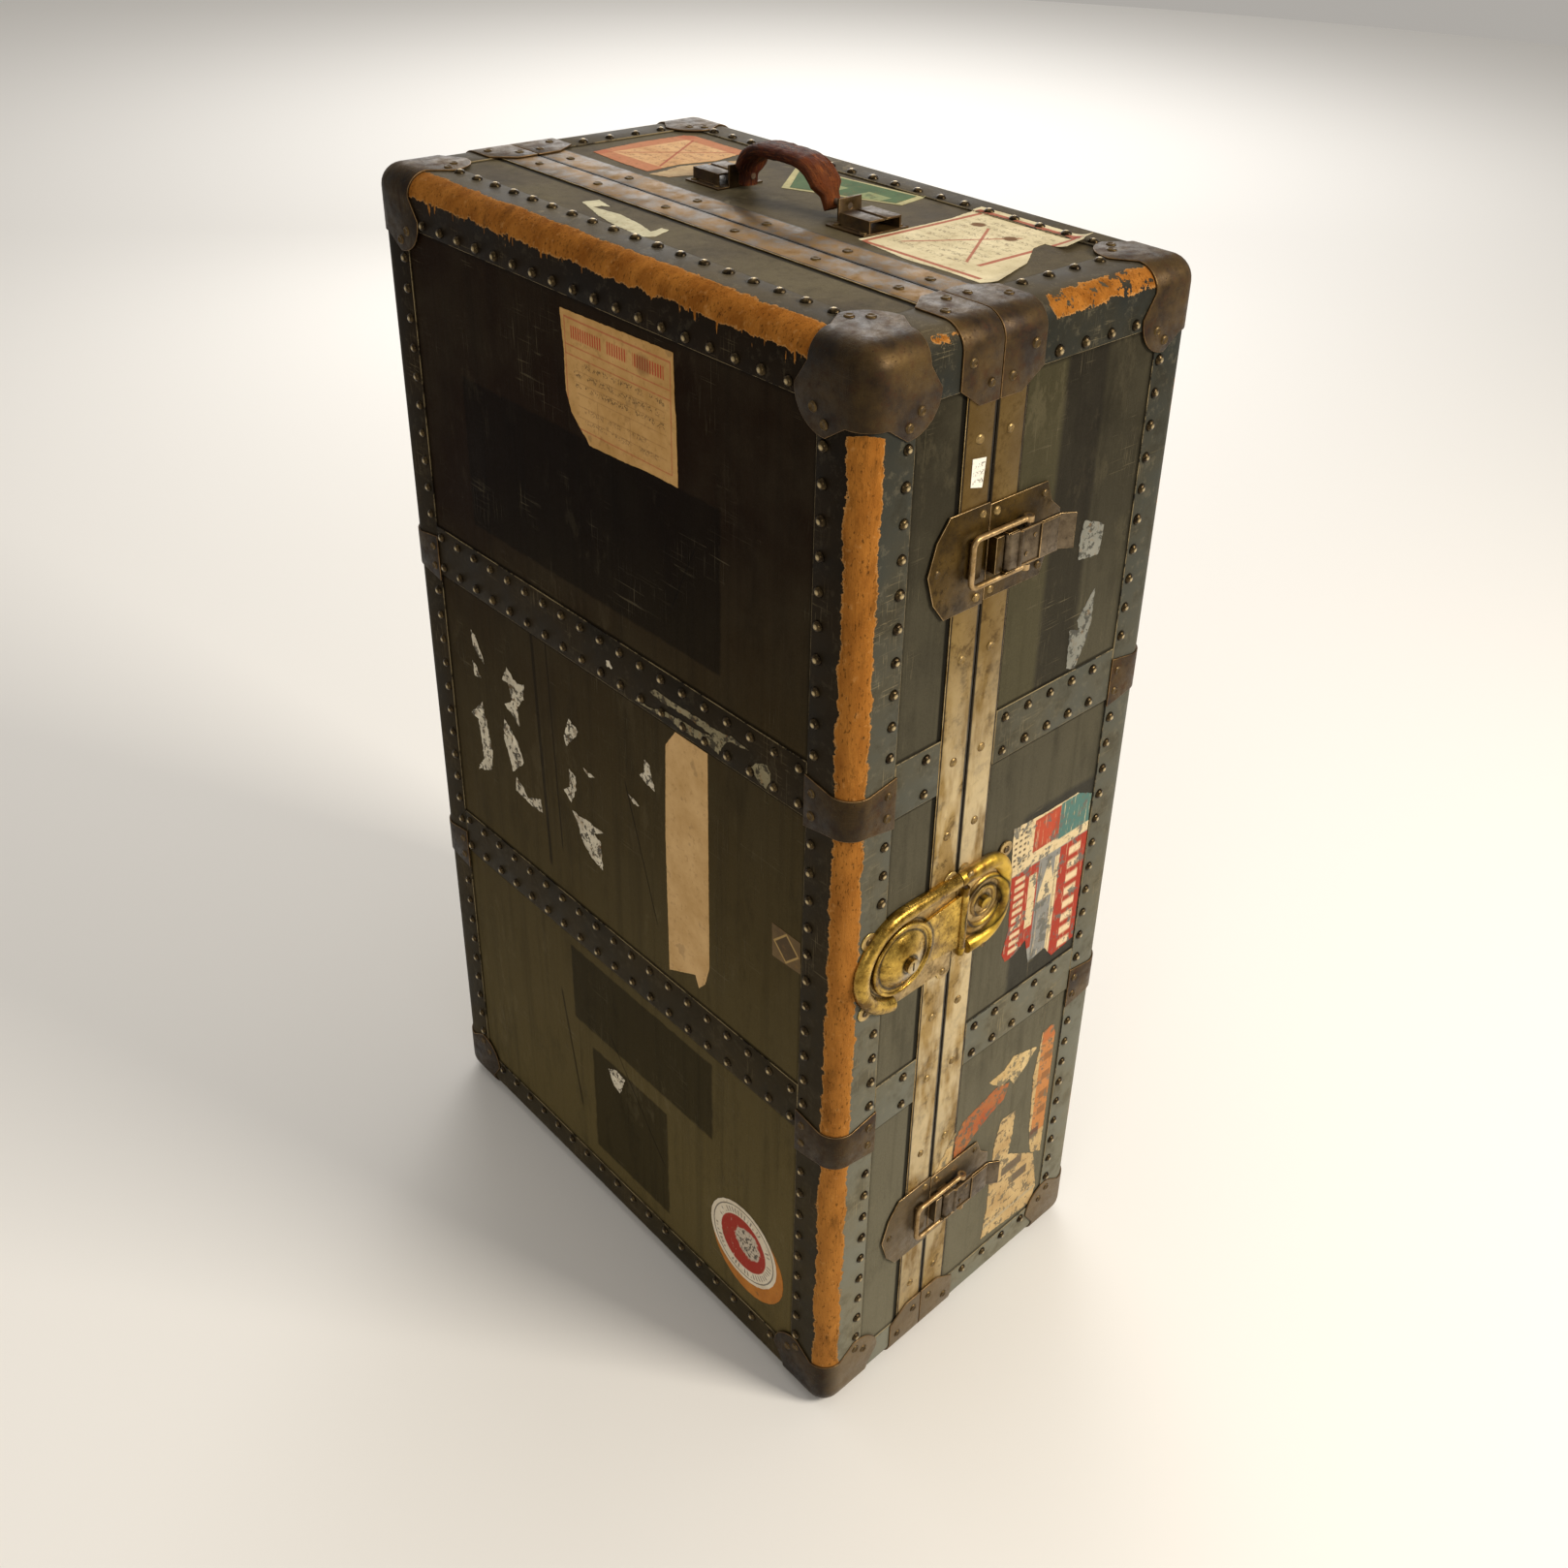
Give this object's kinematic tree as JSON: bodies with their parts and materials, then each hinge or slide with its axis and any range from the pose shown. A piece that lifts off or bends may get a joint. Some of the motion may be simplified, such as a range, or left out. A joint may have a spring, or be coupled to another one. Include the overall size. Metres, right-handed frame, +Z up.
{
  "type": "trunk",
  "caption": "Flat steamer trunk stood on end: hinged lid, draw bolts, hasp lock, cross bands, steel corner caps and clamps, leather end handle and an inner tray",
  "frame": {"origin": "middle of the trunk's foot, on the surface it stands on, at the centre of the outline of everything that stands out", "axes": "+Z up along the trunk's length as it stands on its end, -Y towards the lock side, -X towards the lid's broad side, +Y towards the hinges"},
  "size_m": [0.3514, 0.6158, 1.0609],
  "materials": {
    "body_back_board": "bare plywood",
    "body_bindings": "slate-blue vulcanised fibre, worn to tan on the corners",
    "body_bottom_board": "bare plywood",
    "body_broad_board": "bare plywood",
    "body_corner_caps": "brown worn japanned steel",
    "body_cover": "painted vulcanised fibre, worn",
    "body_cross_bands": "painted vulcanised fibre, worn",
    "body_edge_clamps": "brown worn japanned steel",
    "body_front_board": "bare plywood",
    "body_hinge_leaves": "brown worn japanned steel",
    "body_lining": "printed lining paper",
    "body_lock_plate": "rubbed brass",
    "body_nails": "dark bronzed brass",
    "body_rivets": "rubbed brass",
    "body_seam_clamps": "brown worn japanned steel",
    "body_top_board": "bare plywood",
    "body_valance": "dull brass plate",
    "bolt_bases": "worn bronzed steel",
    "bolt_ears": "worn bronzed steel",
    "bolt_stops": "worn bronzed steel",
    "handle_brackets": "brown worn japanned steel",
    "handle_pins": "dull steel",
    "handle_strap": "worn red-brown leather",
    "hasp": "rubbed brass",
    "hasp_pin": "dull steel",
    "hinge_pins": "dull steel",
    "key_plug": "rubbed brass",
    "lever_pins": "dull steel",
    "lid_back_board": "bare plywood",
    "lid_bindings": "slate-blue vulcanised fibre, worn to tan on the corners",
    "lid_bottom_board": "bare plywood",
    "lid_broad_board": "bare plywood",
    "lid_catch_hooks": "worn bronzed steel",
    "lid_catch_plates": "worn bronzed steel",
    "lid_corner_caps": "brown worn japanned steel",
    "lid_cover": "painted vulcanised fibre, worn",
    "lid_cross_bands": "painted vulcanised fibre, worn",
    "lid_edge_clamps": "brown worn japanned steel",
    "lid_front_board": "bare plywood",
    "lid_hinge_leaves": "brown worn japanned steel",
    "lid_lining": "printed lining paper",
    "lid_lock_border": "rubbed brass",
    "lid_lock_plate": "rubbed brass",
    "lid_nails": "dark bronzed brass",
    "lid_rivets": "rubbed brass",
    "lid_seam_clamps": "brown worn japanned steel",
    "lid_top_board": "bare plywood",
    "lid_valance": "dull brass plate",
    "lower_bail": "worn bronzed steel",
    "lower_bail_pin": "dull steel",
    "lower_lever": "worn bronzed steel",
    "tray_cleats": "bare plywood",
    "tray_divider": "thin plywood, papered inside",
    "tray_end_walls": "thin plywood, papered inside",
    "tray_floor": "thin plywood, papered inside",
    "tray_pulls": "woven tape",
    "tray_side_walls": "thin plywood, papered inside",
    "upper_bail": "worn bronzed steel",
    "upper_bail_pin": "dull steel",
    "upper_lever": "worn bronzed steel"
  },
  "bodies": {
    "trunk_body": {"body_back_board": "body_back_board", "body_bindings": "body_bindings", "body_bottom_board": "body_bottom_board", "body_broad_board": "body_broad_board", "body_corner_caps": "body_corner_caps", "body_cover": "body_cover", "body_cross_bands": "body_cross_bands", "body_edge_clamps": "body_edge_clamps", "body_front_board": "body_front_board", "body_hinge_leaves": "body_hinge_leaves", "body_lining": "body_lining", "body_lock_plate": "body_lock_plate", "body_nails": "body_nails", "body_rivets": "body_rivets", "body_seam_clamps": "body_seam_clamps", "body_top_board": "body_top_board", "body_valance": "body_valance", "bolt_bases": "bolt_bases", "bolt_ears": "bolt_ears", "bolt_stops": "bolt_stops", "handle_brackets": "handle_brackets", "handle_pins": "handle_pins", "hasp_pin": "hasp_pin", "hinge_pins": "hinge_pins", "lever_pins": "lever_pins", "tray_cleats": "tray_cleats"},
    "lid": {"lid_back_board": "lid_back_board", "lid_bindings": "lid_bindings", "lid_bottom_board": "lid_bottom_board", "lid_broad_board": "lid_broad_board", "lid_catch_hooks": "lid_catch_hooks", "lid_catch_plates": "lid_catch_plates", "lid_corner_caps": "lid_corner_caps", "lid_cover": "lid_cover", "lid_cross_bands": "lid_cross_bands", "lid_edge_clamps": "lid_edge_clamps", "lid_front_board": "lid_front_board", "lid_hinge_leaves": "lid_hinge_leaves", "lid_lining": "lid_lining", "lid_lock_border": "lid_lock_border", "lid_lock_plate": "lid_lock_plate", "lid_nails": "lid_nails", "lid_rivets": "lid_rivets", "lid_seam_clamps": "lid_seam_clamps", "lid_top_board": "lid_top_board", "lid_valance": "lid_valance"},
    "hasp": {"hasp": "hasp"},
    "key_plug": {"key_plug": "key_plug"},
    "lower_lever": {"lower_lever": "lower_lever", "lower_bail_pin": "lower_bail_pin"},
    "lower_bail": {"lower_bail": "lower_bail"},
    "upper_lever": {"upper_lever": "upper_lever", "upper_bail_pin": "upper_bail_pin"},
    "upper_bail": {"upper_bail": "upper_bail"},
    "handle": {"handle_strap": "handle_strap"},
    "tray": {"tray_floor": "tray_floor", "tray_end_walls": "tray_end_walls", "tray_side_walls": "tray_side_walls", "tray_divider": "tray_divider", "tray_pulls": "tray_pulls"}
  },
  "joints": [
    {"name": "lid_hinge", "type": "hinge", "parent": "trunk_body", "child": "lid", "pos_m": [-0.0485, 0.30383, 0.5096], "axis": [0, 0, -1], "range_deg": [0, 105]},
    {"name": "hasp_hinge", "type": "hinge", "parent": "trunk_body", "child": "hasp", "pos_m": [-0.0415, -0.29477, 0.5096], "axis": [0, 0, 1], "range_deg": [0, 110]},
    {"name": "key_turn", "type": "hinge", "parent": "hasp", "child": "key_plug", "pos_m": [-0.1105, -0.29957, 0.5096], "axis": [0, -1, 0], "range_deg": [0, 90]},
    {"name": "lower_lever_throw", "type": "hinge", "parent": "trunk_body", "child": "lower_lever", "pos_m": [-0.0335, -0.29757, 0.17534], "axis": [0, 0, -1], "range_deg": [0, 115]},
    {"name": "lower_bail_swing", "type": "hinge", "parent": "lower_lever", "child": "lower_bail", "pos_m": [-0.0125, -0.29757, 0.17534], "axis": [0, 0, -1], "range_deg": [-133, 0]},
    {"name": "upper_lever_throw", "type": "hinge", "parent": "trunk_body", "child": "upper_lever", "pos_m": [-0.0335, -0.29757, 0.84386], "axis": [0, 0, -1], "range_deg": [0, 115]},
    {"name": "upper_bail_swing", "type": "hinge", "parent": "upper_lever", "child": "upper_bail", "pos_m": [-0.0125, -0.29757, 0.84386], "axis": [0, 0, -1], "range_deg": [-133, 0]},
    {"name": "handle_fold", "type": "hinge", "parent": "trunk_body", "child": "handle", "pos_m": [0.0275, 0.00493, 1.0284], "axis": [0, 1, 0], "range_deg": [-70, 70]},
    {"name": "tray_slide", "type": "slide", "parent": "trunk_body", "child": "tray", "axis": [-1, 0, 0], "range_m": [0, 0.1]}
  ],
  "couplings": [
    {"joint": "lower_bail_swing", "follows": "lower_lever_throw", "ratio": -1.15},
    {"joint": "upper_bail_swing", "follows": "upper_lever_throw", "ratio": -1.15}
  ]
}
